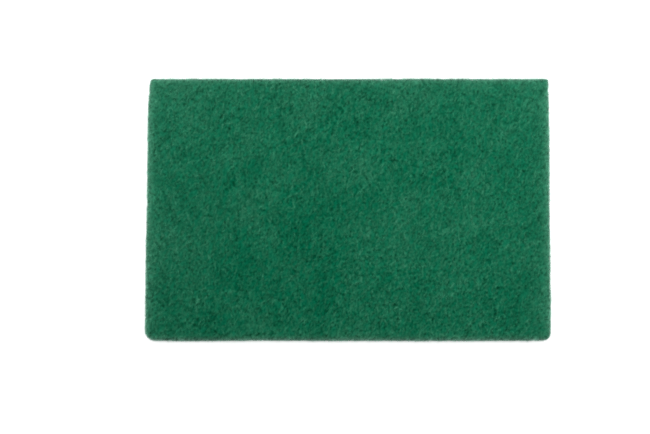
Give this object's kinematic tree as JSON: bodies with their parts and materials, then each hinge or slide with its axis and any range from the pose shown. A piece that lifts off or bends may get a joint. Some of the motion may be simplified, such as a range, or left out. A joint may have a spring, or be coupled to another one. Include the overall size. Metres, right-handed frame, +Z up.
{
  "type": "abrasive hand pad",
  "caption": "Flat rectangular hand pad of springy non-woven abrasive fibre web, with soft edges and rounded corners, for scouring and finishing surfaces by hand.",
  "frame": {"origin": "middle of the underside, in the plane of the surface that the pad lies on", "axes": "+X along the pad's length, +Y towards its back edge, +Z up through its thickness"},
  "size_m": [0.2312, 0.1508, 0.0078],
  "materials": {
    "fibre_web": "matt green non-woven fibre bonded with resin and grit"
  },
  "bodies": {
    "root": {"abrasive_pad": "fibre_web"}
  },
  "joints": []
}
